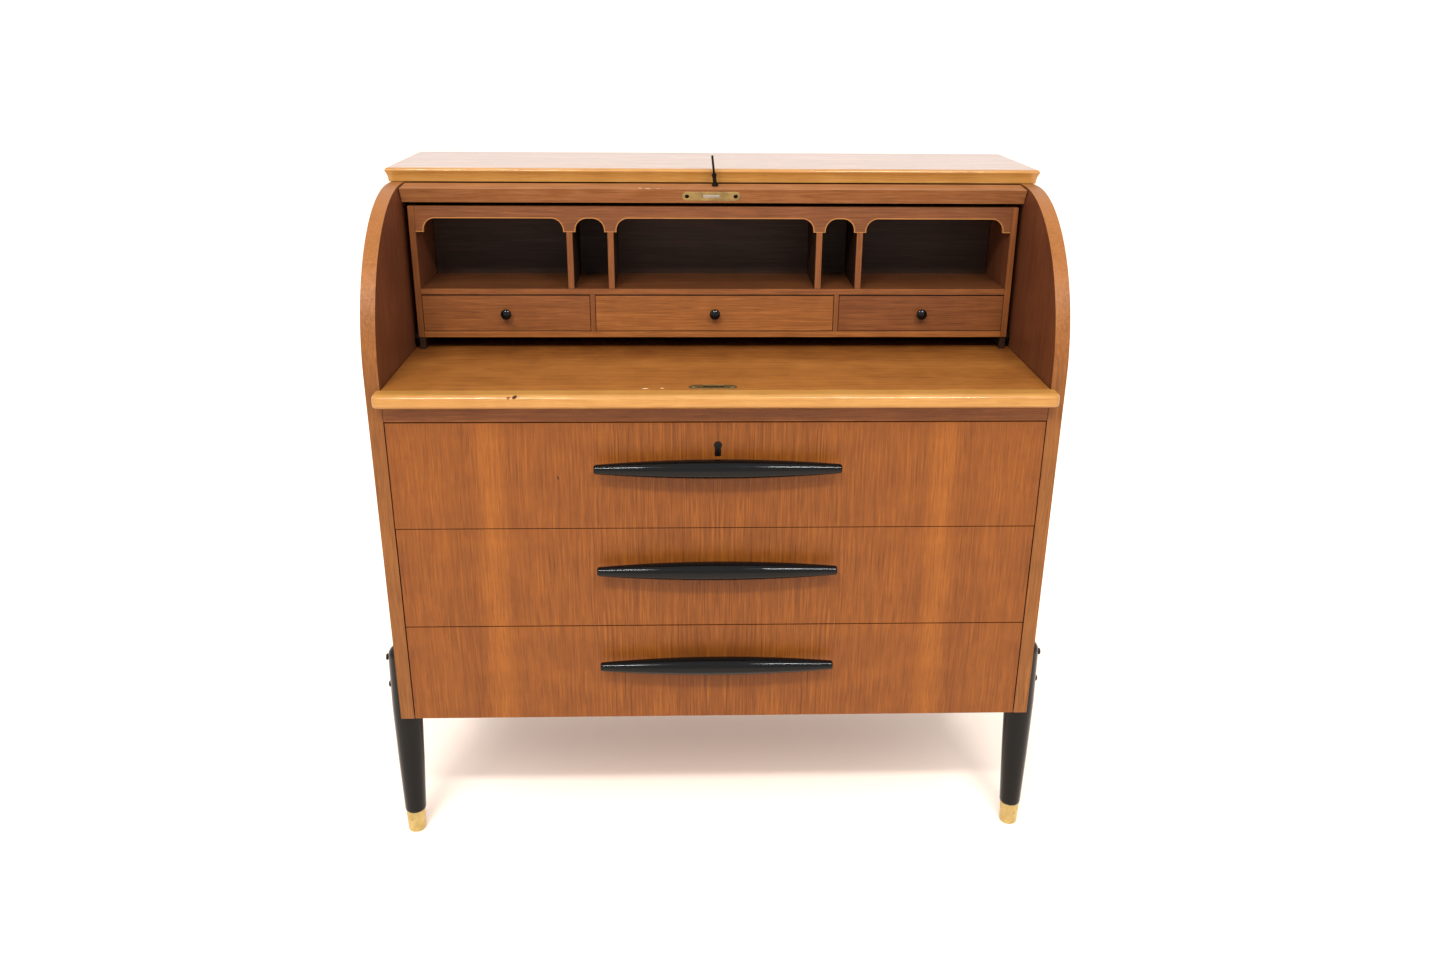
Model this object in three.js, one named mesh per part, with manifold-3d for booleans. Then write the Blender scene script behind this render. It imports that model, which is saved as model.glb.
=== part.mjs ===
// Roll-top secretary desk in teak. A carcass on four turned legs holds three wide drawers, a
// writing board that slides out, and a pigeonhole unit with three small drawers. A rigid curved
// lid swings on two side arms: open, it hides behind the unit; closed, it meets the board.
//
// Millimetres. X points right, Y points back, Z points up. The origin is on the floor, in the
// middle of the desk's outline seen from above. Heights inside the cabinet are measured from the
// underside of the carcass, and depths from the plane of the drawer fronts.
import * as THREE from "three";
import { mergeVertices } from "three/addons/utils/BufferGeometryUtils.js";
import Module from "manifold-3d";

const wasm = await Module();
wasm.setup();

// ---------------------------------------------------------------- driving dimensions

const GAP = 0.3; // left between two pieces that touch
const REVEAL = 1.5; // the visible gap round a drawer front

const WIDTH = 950;
const DEPTH = 475;
const PANEL = 20; // thickness of the side panels and the drawer fronts
const LEG_HEIGHT = 231.5; // floor to the underside of the carcass
const ARC_RADIUS = 228; // the rounded front corner of a side panel
const ARC_Z = 531; // height of that corner's centre, which is also the lid's pivot

const TOP = { thickness: 20.2, half: 482, front: 243 };
const MOULDING = { foot: 4, cove: 9.2, lip: 15.6, ease: 7 }; // the top's edge, from below
const BACK_THICKNESS = 8;
const BOTTOM = { z: 3, thickness: 12 };

const DRAWER_SPLITS = [0, 156.4, 312.4, 470.4]; // lower edges of the fronts, then the rail's
const DRAWER = { wall: 12, floor: 5, groove: 6, length: 440, play: 2.5, under: 14.3, headroom: 14 };
const RUNNER = { width: 17, height: 12, guide: 14 };
const HANDLE = { length: 341, middle: 13.5, end: 6.5, rounding: 1.7, y: -20 };
const POST = { x: 96, radius: 4, drop: 3 }; // the two posts that hold a handle
const HANDLE_HEIGHTS = [98.7, 253.5, 408.5];
const KEYHOLE = { z: 436.2, head: 5.4, half: 4, drop: 15.9, corner: 1.5, depth: 3.5, proud: 0.5 };
const KEY_SLOT = { head: 2.6, half: 1.4, drop: 11.9 }; // the hole through the keyhole's insert

const BOARD = { bottom: 495.5, top: 516, rear: 425, play: 1.2 };
const LIP = { half: 462.3, front: 26, edge: 8, rounding: 6.5, corner: 9 };
const RAIL = { bottom: 470.5, top: 494.5 };
const STRIKE = { x: -7, half: 33, front: 4, back: 23, thickness: 2, proud: 0.2 };
const MORTISE = { half: 14, front: 12.5, back: 21.5, play: 1.5, depth: 11 }; // takes the lid's bolt

const UNIT = { half: 446, board: 9, front: 211, back: 335, bottom: 534.8, top: 729 };
const HOOD = { thickness: 5, bendY: 285, bendZ: 708 }; // the roof slopes down from bendY
const SHELF_TOP = 608.6;
const SHELF_THICKNESS = 8.6;
const PIGEONHOLE_DIVIDERS = [-213.7, -153.7, 153.7, 213.7];
const DRAWER_DIVIDERS = { x: 183, thickness: 7.2 };
const VALANCE = { thickness: 8, bottom: 692.5, arch: 712.2, foot: 8.8, endFoot: 11.7, round: 17.5 };
const SMALL_DRAWER = { front: 9, wall: 6, floor: 3.5, back: 325, slack: 0.8 };
const KNOB = { radius: 8, length: 14 };
const BEARER = { front: 213, relief: 262, back: 420 };

const LID = { outer: 225.5, inner: 213.5, start: -4, end: 86.2, half: 453.5 }; // degrees
const LOCK_RAIL = { nose: 96.6, heel: 86.5, heelRadius: 227.7, inner: 203.9, innerNose: 94 };
const ARM = { angle: 46, half: 12, neck: 9.6, foot: 18, band: 16, x: 447.3, thickness: 3.5 };
const AXLE = { radius: 5, collar: 6.5, depth: 6 };
const FOREND = { x: -6, half: 43, width: 15.5, thickness: 2, proud: 0.2 };
const BOLT = { half: 12.2, thickness: 4.6, length: 14 };
const KEY = { x: 0, y: 226, lean: 6, height: 44 };

const LEG = { inset: 42, top: 22.5, ankle: 16.35, splay: 1.25, cheek: 106, dome: 18 };
const FERRULE = { height: 38, top: 15.1, bottom: 13.45, wall: 1.5, floor: 3.2 };

const HALF = WIDTH / 2;
const INNER = HALF - PANEL;
const PANEL_TOP = ARC_Z + ARC_RADIUS;
const HANDLE_FRONT = HANDLE.y - HANDLE.middle;
const CENTRE_Y = (DEPTH + HANDLE_FRONT) / 2;
const SIDES = [
  ["left", -1],
  ["right", 1],
];

// ---------------------------------------------------------------- materials

const finish = (color, roughness, metalness = 0) => ({ color, roughness, metalness });
const TEAK = finish(0xa8683c, 0.5);
const TEAK_SHADE = finish(0x7a4526, 0.55);
const TEAK_LIGHT = finish(0xd39a58, 0.42);
const PINE = finish(0xc9a778, 0.7);
const EBONISED = finish(0x1c1a18, 0.35);
const BRASS = finish(0xb08d4f, 0.32, 1);
const STEEL = finish(0x4a4744, 0.4, 1);

// ---------------------------------------------------------------- solids

const radians = THREE.MathUtils.degToRad;

// A closed mesh as a manifold-3d solid, with its shared vertices merged.
function solid(geometry) {
  const bare = new THREE.BufferGeometry();
  bare.setAttribute("position", geometry.getAttribute("position"));
  if (geometry.index) bare.setIndex(geometry.index);
  const merged = mergeVertices(bare, 1e-4);
  const index = merged.index.array;
  const triVerts = [];
  for (let i = 0; i < index.length; i += 3) {
    const [a, b, c] = [index[i], index[i + 1], index[i + 2]];
    if (a !== b && b !== c && c !== a) triVerts.push(a, b, c);
  }
  const vertProperties = new Float32Array(merged.attributes.position.array);
  return new wasm.Manifold(
    new wasm.Mesh({ numProp: 3, vertProperties, triVerts: new Uint32Array(triVerts) }),
  );
}

function geometryOf(body) {
  const mesh = body.getMesh();
  const position = new Float32Array(mesh.numVert * 3);
  for (let i = 0; i < mesh.numVert; i++) {
    position.set(mesh.vertProperties.subarray(i * mesh.numProp, i * mesh.numProp + 3), i * 3);
  }
  const geometry = new THREE.BufferGeometry();
  geometry.setAttribute("position", new THREE.BufferAttribute(position, 3));
  geometry.setIndex(new THREE.BufferAttribute(new Uint32Array(mesh.triVerts), 1));
  return geometry;
}

const union = (...bodies) => bodies.reduce((a, b) => a.add(b));
const cut = (body, ...tools) => tools.reduce((a, b) => a.subtract(b), body);

function box(x0, x1, y0, y1, z0, z1) {
  const geometry = new THREE.BoxGeometry(Math.abs(x1 - x0), y1 - y0, z1 - z0);
  return solid(geometry.translate((x0 + x1) / 2, (y0 + y1) / 2, (z0 + z1) / 2));
}

const polygon = (points) => new THREE.Shape(points.map(([u, v]) => new THREE.Vector2(u, v)));

function extrude(shape, depth, segments) {
  return new THREE.ExtrudeGeometry(shape, { depth, bevelEnabled: false, curveSegments: segments });
}

// A shape drawn in (y, z), extruded along X from x0 to x1.
function alongX(shape, x0, x1, segments = 12) {
  const low = Math.min(x0, x1);
  const basis = new THREE.Matrix4().makeBasis(
    new THREE.Vector3(0, 1, 0),
    new THREE.Vector3(0, 0, 1),
    new THREE.Vector3(1, 0, 0),
  );
  const geometry = extrude(shape, Math.abs(x1 - x0), segments).applyMatrix4(basis);
  return solid(geometry.translate(low, 0, 0));
}

// A shape drawn in (x, z), extruded along Y from y0 to y1.
function alongY(shape, y0, y1, segments = 12) {
  const geometry = extrude(shape, y1 - y0, segments).rotateX(Math.PI / 2);
  return solid(geometry.translate(0, y1, 0));
}

// A turned piece about the Z axis, from its [radius, z] profile, which ends on the axis.
function turned(profile, segments = 32) {
  const points = profile.map(([r, z]) => new THREE.Vector2(r, z));
  return new THREE.LatheGeometry(points, segments).rotateX(Math.PI / 2);
}

// A cylinder along X between x0 and x1.
function rod(radius, x0, x1, y, z, segments = 24) {
  const geometry = new THREE.CylinderGeometry(radius, radius, Math.abs(x1 - x0), segments);
  geometry.rotateZ(Math.PI / 2);
  return solid(geometry.translate((x0 + x1) / 2, y, z));
}

// A bar with round ends: centred on x, from v0 to v1 across.
function slot(x, half, v0, v1) {
  const r = (v1 - v0) / 2;
  const shape = new THREE.Shape();
  shape.moveTo(x - half + r, v0);
  shape.lineTo(x + half - r, v0);
  shape.absarc(x + half - r, v0 + r, r, -Math.PI / 2, Math.PI / 2, false);
  shape.lineTo(x - half + r, v1);
  shape.absarc(x - half + r, v0 + r, r, Math.PI / 2, (3 * Math.PI) / 2, false);
  return shape;
}

// A band of the circle round the lid's pivot, between two radii and two angles in degrees. Zero
// degrees points back and ninety points up.
function arcBand(inner, outer, from, to) {
  const shape = new THREE.Shape();
  shape.absarc(ARC_RADIUS, ARC_Z, outer, radians(from), radians(to), false);
  shape.absarc(ARC_RADIUS, ARC_Z, inner, radians(to), radians(from), true);
  return shape;
}

const onCircle = (radius, angle) => [
  ARC_RADIUS + radius * Math.cos(radians(angle)),
  ARC_Z + radius * Math.sin(radians(angle)),
];

// ---------------------------------------------------------------- scene graph

const root = new THREE.Group();
const desk = new THREE.Group();
desk.position.y = -CENTRE_Y;
root.add(desk);
const cabinet = new THREE.Group();
cabinet.position.z = LEG_HEIGHT;
desk.add(cabinet);

function piece(parent, name, body, material) {
  const mesh = new THREE.Mesh(geometryOf(body), new THREE.MeshStandardMaterial(material));
  mesh.name = name;
  parent.add(mesh);
}

// ---------------------------------------------------------------- carcass

function sidePanel(side) {
  const outline = new THREE.Shape();
  outline.moveTo(DEPTH, 0);
  outline.lineTo(DEPTH, PANEL_TOP);
  outline.lineTo(ARC_RADIUS, PANEL_TOP);
  outline.absarc(ARC_RADIUS, ARC_Z, ARC_RADIUS, Math.PI / 2, Math.PI, false);
  outline.lineTo(0, 0);
  const panel = alongX(outline, side * INNER, side * HALF, 48);
  const bore = AXLE.radius + GAP;
  const deep = AXLE.depth + 2;
  return cut(panel, rod(bore, side * (INNER - 1), side * (INNER + deep), ARC_RADIUS, ARC_Z));
}

// Half of the top's outline across one moulded edge: a cove below, a rounded lip above. The edge
// is at "tip" and the board lies on the side that "inward" points to.
function mouldedEdge(shape, tip, inward) {
  const { foot, cove, lip, ease } = MOULDING;
  const at = (offset) => tip + inward * offset;
  shape.lineTo(at(foot), 0);
  shape.quadraticCurveTo(at(foot), cove, at(0), lip);
  shape.quadraticCurveTo(at(0), TOP.thickness, at(ease), TOP.thickness);
}

function topBoard() {
  const edged = (square, tip, inward) => {
    const shape = new THREE.Shape();
    shape.moveTo(square, 0);
    mouldedEdge(shape, tip, inward);
    shape.lineTo(square, TOP.thickness);
    return shape;
  };
  const run = [TOP.front - 1, DEPTH, 8];
  const right = alongY(edged(-1, TOP.half, -1), ...run);
  const left = alongY(edged(1, -TOP.half, 1), ...run);
  const deep = alongX(edged(DEPTH, TOP.front, 1), -TOP.half - 1, TOP.half + 1, 8);
  return union(right, left).intersect(deep).translate([0, 0, PANEL_TOP + GAP]);
}

for (const [name, side] of SIDES) piece(cabinet, `side_panel_${name}`, sidePanel(side), TEAK);
piece(cabinet, "top_board", topBoard(), TEAK_LIGHT);

const reach = INNER - GAP; // half-width of what is fitted between the side panels
const backFace = DEPTH - BACK_THICKNESS;
piece(
  cabinet,
  "back_panel",
  box(-reach, reach, backFace, DEPTH, BOTTOM.z, PANEL_TOP - GAP),
  TEAK_SHADE,
);
const floorTop = BOTTOM.z + BOTTOM.thickness;
piece(
  cabinet,
  "bottom_panel",
  box(-reach, reach, PANEL + REVEAL, backFace - GAP, BOTTOM.z, floorTop),
  TEAK_SHADE,
);
piece(cabinet, "front_rail", box(-reach, reach, 0, PANEL, RAIL.bottom, RAIL.top), TEAK);

for (const [name, side] of SIDES) {
  const inside = side * (reach - RUNNER.width);
  const [x0, x1] = [Math.min(inside, side * reach), Math.max(inside, side * reach)];
  ["middle", "top"].forEach((level, i) => {
    const z = DRAWER_SPLITS[i + 1] + DRAWER.under - GAP;
    const runner = box(x0, x1, PANEL + REVEAL, backFace - GAP, z - RUNNER.height, z);
    piece(cabinet, `runner_${level}_${name}`, runner, PINE);
  });
  const guideTop = BOARD.bottom - GAP;
  const guide = box(x0, x1, PANEL + GAP, BOARD.rear, guideTop - RUNNER.guide, guideTop);
  piece(cabinet, `board_guide_${name}`, guide, PINE);
}

// ---------------------------------------------------------------- legs

// Leans a leg outwards below the carcass, with every level slice kept level and round.
function splayed(geometry, side) {
  const lean = Math.tan(radians(LEG.splay));
  const shear = new THREE.Matrix4().makeShear(0, 0, 0, 0, -side * lean, 0);
  return geometry.applyMatrix4(shear).translate(side * (HALF + lean * LEG_HEIGHT), 0, 0);
}

// A turned leg whose upper end is halved onto the outside of the side panel, with a domed end.
function leg(side, y) {
  const cheekTop = LEG_HEIGHT + LEG.cheek;
  const shoulder = cheekTop - LEG.dome;
  const profile = [
    [0, FERRULE.floor + GAP],
    [FERRULE.bottom - FERRULE.wall - 0.6, FERRULE.floor + GAP],
    [FERRULE.top - FERRULE.wall - 0.4, FERRULE.height + GAP],
    [FERRULE.top, FERRULE.height + GAP],
    [LEG.ankle - 0.3, FERRULE.height + 2],
    [LEG.ankle, FERRULE.height + 4],
    [(LEG.ankle + LEG.top) / 2 + 0.4, (LEG_HEIGHT + FERRULE.height) / 2],
    [LEG.top, LEG_HEIGHT],
    [LEG.top - 0.3, shoulder],
  ];
  for (let i = 1; i <= 6; i++) {
    const a = (i / 6) * (Math.PI / 2);
    const radius = i === 6 ? 0 : (LEG.top - 0.3) * Math.cos(a);
    profile.push([radius, shoulder + LEG.dome * Math.sin(a)]);
  }
  const post = solid(splayed(turned(profile), side).translate(0, y, 0));
  const wide = LEG.top * 2;
  const [x0, x1] = [side * (HALF - wide), side * (HALF + GAP)].sort((a, b) => a - b);
  return cut(post, box(x0, x1, y - wide, y + wide, LEG_HEIGHT - GAP, cheekTop + 1));
}

function ferrule(side, y) {
  const { height, top, bottom, wall, floor } = FERRULE;
  const profile = [
    [0, 0],
    [bottom - 1, 0],
    [bottom, 1.2],
    [top, height - 1],
    [top - 0.4, height],
    [top - wall, height],
    [bottom - wall, floor],
    [0, floor],
  ];
  return solid(splayed(turned(profile), side).translate(0, y, 0));
}

for (const [end, y] of [
  ["front", LEG.inset],
  ["rear", DEPTH - LEG.inset],
]) {
  for (const [name, side] of SIDES) {
    piece(desk, `leg_${end}_${name}`, leg(side, y), EBONISED);
    piece(desk, `ferrule_${end}_${name}`, ferrule(side, y), BRASS);
  }
}

// ---------------------------------------------------------------- wide drawers

function keyholeOutline(grow) {
  const r = KEYHOLE.head + grow;
  const half = KEYHOLE.half + grow;
  const bottom = KEYHOLE.z - KEYHOLE.drop - grow;
  const a = Math.acos(half / r);
  const corner = KEYHOLE.corner;
  const shape = new THREE.Shape();
  shape.absarc(0, KEYHOLE.z, r, -a, Math.PI + a, false);
  shape.lineTo(-half, bottom + corner);
  shape.quadraticCurveTo(-half, bottom, corner - half, bottom);
  shape.lineTo(half - corner, bottom);
  shape.quadraticCurveTo(half, bottom, half, bottom + corner);
  return shape;
}

function drawerFront(z0, z1, hasLock) {
  const half = INNER - REVEAL;
  const front = box(-half, half, 0, PANEL, z0, z1);
  return hasLock ? cut(front, alongY(keyholeOutline(GAP), -1, KEYHOLE.depth + 3)) : front;
}

// The drawer's box, open above, with its floor set in a groove above the sides' lower edges.
function tray(z0, z1) {
  const { wall, floor, groove, length, play } = DRAWER;
  const half = INNER - play;
  const front = PANEL + GAP;
  const hollow = [wall - half, half - wall, front + wall, length - wall];
  const inside = box(...hollow, z0 + groove + floor, z1 + 1);
  const under = box(...hollow, z0 - 1, z0 + groove);
  return cut(box(-half, half, front, length, z0, z1), inside, under);
}

// A spindle that swells towards the middle, on two posts.
function handle(z) {
  const half = HANDLE.length / 2;
  const tip = HANDLE.end - HANDLE.rounding;
  const steps = 20;
  const profile = [[0, -half], [tip, -half]];
  for (let i = 0; i <= steps; i++) {
    const t = (2 * i) / steps - 1;
    const swell = (HANDLE.middle - HANDLE.end) * (1 - t * t);
    profile.push([HANDLE.end + swell, t * (half - HANDLE.rounding)]);
  }
  profile.push([tip, half], [0, half]);
  const spindle = solid(turned(profile, 28).rotateY(Math.PI / 2).translate(0, HANDLE.y, z));
  const posts = [-1, 1].map((side) => {
    const post = new THREE.CylinderGeometry(POST.radius, POST.radius, -HANDLE.y - GAP, 20);
    return solid(post.translate(side * POST.x, (HANDLE.y - GAP) / 2, z - POST.drop));
  });
  return union(spindle, ...posts);
}

function keyholeInsert() {
  const plate = alongY(keyholeOutline(0), -KEYHOLE.proud, KEYHOLE.depth, 16);
  const { head, half, drop } = KEY_SLOT;
  const a = Math.acos(half / head);
  const hole = new THREE.Shape();
  hole.absarc(0, KEYHOLE.z, head, -a, Math.PI + a, false);
  hole.lineTo(-half, KEYHOLE.z - drop);
  hole.lineTo(half, KEYHOLE.z - drop);
  return cut(plate, alongY(hole, -KEYHOLE.proud - 1, KEYHOLE.depth + 1, 10));
}

["bottom", "middle", "top"].forEach((level, i) => {
  const drawer = new THREE.Group();
  const z0 = DRAWER_SPLITS[i];
  const z1 = DRAWER_SPLITS[i + 1] - REVEAL;
  const trayBottom = i === 0 ? floorTop + GAP : z0 + DRAWER.under;
  piece(drawer, `drawer_front_${level}`, drawerFront(z0, z1, level === "top"), TEAK);
  piece(drawer, `drawer_tray_${level}`, tray(trayBottom, z1 - DRAWER.headroom), PINE);
  piece(drawer, `drawer_handle_${level}`, handle(HANDLE_HEIGHTS[i]), EBONISED);
  if (level === "top") piece(drawer, "keyhole_insert", keyholeInsert(), EBONISED);
  cabinet.add(drawer);
});

// ---------------------------------------------------------------- writing board

// The lip's outline seen from above, with its two front corners rounded.
function lipPlan(half, front, corner) {
  const shape = new THREE.Shape();
  shape.moveTo(-half, 0);
  shape.lineTo(half, 0);
  shape.lineTo(half, front - corner);
  shape.quadraticCurveTo(half, front, half - corner, front);
  shape.lineTo(corner - half, front);
  shape.quadraticCurveTo(-half, front, -half, front - corner);
  return shape;
}

// A bullnose in level layers: each layer is the plan drawn in by a quarter ellipse.
function lip() {
  const height = BOARD.top - BOARD.bottom;
  const steps = 5;
  const inset = (t) => LIP.edge * (1 - Math.sqrt(Math.max(0, 1 - t * t)));
  const levels = [];
  for (let i = steps; i >= 0; i--) levels.push([LIP.rounding * (1 - i / steps), inset(i / steps)]);
  for (let i = 0; i <= steps; i++) {
    levels.push([height - LIP.rounding * (1 - i / steps), inset(i / steps)]);
  }
  const plans = levels.map(([, d]) => lipPlan(LIP.half - d / 2, LIP.front - GAP - d, LIP.corner));
  const rings = plans.map((plan) => plan.extractPoints(5).shape);
  const count = rings[0].length;
  const position = [];
  rings.forEach((ring, k) => {
    for (const p of ring) position.push(p.x, -GAP - p.y, BOARD.bottom + levels[k][0]);
  });
  const index = [];
  for (let k = 0; k + 1 < rings.length; k++) {
    for (let i = 0; i < count; i++) {
      const [a, b] = [k * count + i, k * count + ((i + 1) % count)];
      index.push(a, a + count, b, b, a + count, b + count);
    }
  }
  const caps = THREE.ShapeUtils.triangulateShape(rings[0], []);
  const last = (rings.length - 1) * count;
  for (const [a, b, c] of caps) index.push(a, b, c, last + a, last + c, last + b);
  const geometry = new THREE.BufferGeometry();
  geometry.setAttribute("position", new THREE.Float32BufferAttribute(position, 3));
  return solid(geometry.setIndex(index));
}

// A flat plate with round ends, drawn in (x, y), from z0 to z1.
function roundEnded(x, half, y0, y1, z0, z1) {
  return solid(extrude(slot(x, half, y0, y1), z1 - z0, 10).translate(0, 0, z0));
}

function strikePlate() {
  const { x, half, front, back, thickness, proud } = STRIKE;
  const top = BOARD.top + proud;
  const plate = roundEnded(x, half, front, back, top - thickness, top);
  const [x0, x1] = [FOREND.x - MORTISE.half, FOREND.x + MORTISE.half];
  return cut(plate, box(x0, x1, MORTISE.front, MORTISE.back, top - thickness - 1, top + 1));
}

function writingBoard() {
  const { x, half, front, back, thickness } = STRIKE;
  const { top, bottom, rear, play } = BOARD;
  const side = INNER - play;
  const slab = box(-side, side, 0, rear, bottom, top);
  const seat = roundEnded(x, half + GAP, front - GAP, back + GAP, top - thickness, top + 1);
  const [x0, x1] = [FOREND.x - MORTISE.half, FOREND.x + MORTISE.half];
  const [y0, y1] = [MORTISE.front - MORTISE.play, MORTISE.back + MORTISE.play];
  return cut(slab, seat, box(x0, x1, y0, y1, top - MORTISE.depth, top + 1));
}

const boardGroup = new THREE.Group();
piece(boardGroup, "writing_board", writingBoard(), TEAK);
piece(boardGroup, "writing_board_lip", lip(), TEAK_LIGHT);
piece(boardGroup, "strike_plate", strikePlate(), BRASS);
cabinet.add(boardGroup);

// ---------------------------------------------------------------- pigeonhole unit

const unitInner = UNIT.half - UNIT.board;
const hoodInside = UNIT.back - HOOD.thickness;
const roofUnder = UNIT.top - HOOD.thickness;
const bendUnder = HOOD.bendZ - HOOD.thickness + 1.2; // inner corner of the sloping roof

function unitSide(side) {
  const { front, back, bottom, top } = UNIT;
  const outline = polygon([
    [front, bottom],
    [back, bottom],
    [back, HOOD.bendZ],
    [HOOD.bendY, top],
    [front, top],
  ]);
  return alongX(outline, side * unitInner, side * UNIT.half);
}

// The roof and back in one bent sheet, which slopes at the back to stay inside the lid's sweep.
function hood() {
  const start = UNIT.front + VALANCE.thickness + GAP;
  const outline = polygon([
    [start, roofUnder],
    [HOOD.bendY - 1, roofUnder],
    [hoodInside, bendUnder],
    [hoodInside, UNIT.bottom],
    [UNIT.back, UNIT.bottom],
    [UNIT.back, HOOD.bendZ],
    [HOOD.bendY, UNIT.top],
    [start, UNIT.top],
  ]);
  return alongX(outline, GAP - unitInner, unitInner - GAP);
}

function pigeonholeDivider(x) {
  const behind = UNIT.front + VALANCE.thickness + GAP;
  const outline = polygon([
    [UNIT.front, SHELF_TOP + GAP],
    [hoodInside - GAP, SHELF_TOP + GAP],
    [hoodInside - GAP, bendUnder - GAP],
    [HOOD.bendY - 2, roofUnder - GAP],
    [behind, roofUnder - GAP],
    [behind, VALANCE.bottom - GAP],
    [UNIT.front, VALANCE.bottom - GAP],
  ]);
  return alongX(outline, x - UNIT.board / 2, x + UNIT.board / 2);
}

// A board across the top of the pigeonholes, cut into five arches that leave a foot in front of
// each divider and at each end.
function valance() {
  const { thickness, bottom, arch, foot, endFoot, round } = VALANCE;
  const half = unitInner - GAP;
  let board = alongY(
    polygon([
      [-half, bottom],
      [half, bottom],
      [half, UNIT.top],
      [-half, UNIT.top],
    ]),
    UNIT.front,
    UNIT.front + thickness,
  );
  const edges = [endFoot - unitInner];
  for (const x of PIGEONHOLE_DIVIDERS) edges.push(x - foot, x + foot);
  edges.push(unitInner - endFoot);
  for (let i = 0; i < edges.length; i += 2) {
    const [x0, x1] = [edges[i], edges[i + 1]];
    const hole = new THREE.Shape();
    hole.moveTo(x0, bottom - 1);
    hole.lineTo(x1, bottom - 1);
    hole.lineTo(x1, arch - round);
    hole.absarc(x1 - round, arch - round, round, 0, Math.PI / 2, false);
    hole.absarc(x0 + round, arch - round, round, Math.PI / 2, Math.PI, false);
    board = cut(board, alongY(hole, UNIT.front - 1, UNIT.front + thickness + 1, 14));
  }
  return board;
}

const unitFloorTop = UNIT.bottom + UNIT.board;
const shelfUnder = SHELF_TOP - SHELF_THICKNESS;
for (const [name, side] of SIDES) piece(cabinet, `unit_side_${name}`, unitSide(side), TEAK);
piece(cabinet, "unit_hood", hood(), TEAK_SHADE);
piece(cabinet, "unit_valance", valance(), TEAK);
const unitSpan = [GAP - unitInner, unitInner - GAP, UNIT.front, hoodInside - GAP];
piece(cabinet, "unit_shelf", box(...unitSpan, shelfUnder, SHELF_TOP), TEAK);
piece(cabinet, "unit_floor", box(...unitSpan, UNIT.bottom, unitFloorTop), TEAK);
PIGEONHOLE_DIVIDERS.forEach((x, i) => {
  piece(cabinet, `pigeonhole_divider_${i + 1}`, pigeonholeDivider(x), TEAK);
});
for (const [name, side] of SIDES) {
  const x = side * DRAWER_DIVIDERS.x;
  const half = DRAWER_DIVIDERS.thickness / 2;
  const low = unitFloorTop + GAP;
  const high = shelfUnder - GAP;
  const divider = box(x - half, x + half, UNIT.front, hoodInside - GAP, low, high);
  piece(cabinet, `drawer_divider_${name}`, divider, TEAK);
}

// Two bearers carry the unit. Each is screwed to a side panel behind the lid's pivot, and its
// front end is narrow so that the swinging arm passes outside it.
for (const [name, side] of SIDES) {
  const top = UNIT.bottom - GAP;
  const low = BOARD.top + GAP;
  const narrow = [side * unitInner, side * UNIT.half].sort((a, b) => a - b);
  const wide = [side * unitInner, side * reach].sort((a, b) => a - b);
  const bearer = union(
    box(...narrow, BEARER.front, BEARER.back, low, top),
    box(...wide, BEARER.relief, BEARER.back, low, top),
  );
  piece(cabinet, `unit_bearer_${name}`, bearer, TEAK_SHADE);
}

// ---------------------------------------------------------------- small drawers

function smallDrawer(x0, x1) {
  const { front, wall, floor, back } = SMALL_DRAWER;
  const low = unitFloorTop + 1;
  const high = shelfUnder - 1.7;
  const face = box(x0, x1, UNIT.front, UNIT.front + front, low, high);
  const body = box(x0 + 1, x1 - 1, UNIT.front + front - 1, back, low, high - 5);
  const hollow = [x0 + 1 + wall, x1 - 1 - wall, UNIT.front + front, back - wall];
  return cut(union(face, body), box(...hollow, low + floor, high + 1));
}

function knob(x, z) {
  const { radius, length } = KNOB;
  const profile = [
    [0, GAP],
    [4.2, GAP],
    [3.4, 3],
    [3.6, 5],
    [radius * 0.86, 7.4],
    [radius, 9.6],
    [radius * 0.94, 11.6],
    [radius * 0.66, 13.2],
    [radius * 0.3, length - 0.1],
    [0, length],
  ];
  const geometry = turned(profile, 24).rotateX(Math.PI / 2);
  return solid(geometry.translate(x, UNIT.front, z));
}

const wall = DRAWER_DIVIDERS.x + DRAWER_DIVIDERS.thickness / 2 + SMALL_DRAWER.slack;
const middle = DRAWER_DIVIDERS.x - DRAWER_DIVIDERS.thickness / 2 - SMALL_DRAWER.slack;
const end = unitInner - SMALL_DRAWER.slack;
for (const [name, x0, x1] of [
  ["left", -end, -wall],
  ["middle", -middle, middle],
  ["right", wall, end],
]) {
  const drawer = new THREE.Group();
  const z = (unitFloorTop + shelfUnder) / 2;
  piece(drawer, `small_drawer_${name}`, smallDrawer(x0, x1), TEAK);
  piece(drawer, `small_knob_${name}`, knob((x0 + x1) / 2, z), EBONISED);
  cabinet.add(drawer);
}

// ---------------------------------------------------------------- lid

// The lock rail's corners in (y, z): the nose meets the board when the lid is closed.
const nose = onCircle(LID.outer, LOCK_RAIL.nose);
const heel = onCircle(LOCK_RAIL.heelRadius, LOCK_RAIL.heel);
const innerHeel = onCircle(LOCK_RAIL.inner, LOCK_RAIL.heel);
const innerNose = onCircle(LOCK_RAIL.inner, LOCK_RAIL.innerNose);

// A frame on the rail's front face: X along the rail, Y up the face, Z out of it.
const faceCentre = new THREE.Vector3(
  FOREND.x,
  (nose[0] + innerNose[0]) / 2,
  (nose[1] + innerNose[1]) / 2,
);
const faceUp = new THREE.Vector3(0, nose[0] - innerNose[0], nose[1] - innerNose[1]).normalize();
const faceOut = new THREE.Vector3(1, 0, 0).cross(faceUp);
const faceFrame = new THREE.Matrix4()
  .makeBasis(new THREE.Vector3(1, 0, 0), faceUp, faceOut)
  .setPosition(faceCentre);

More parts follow.
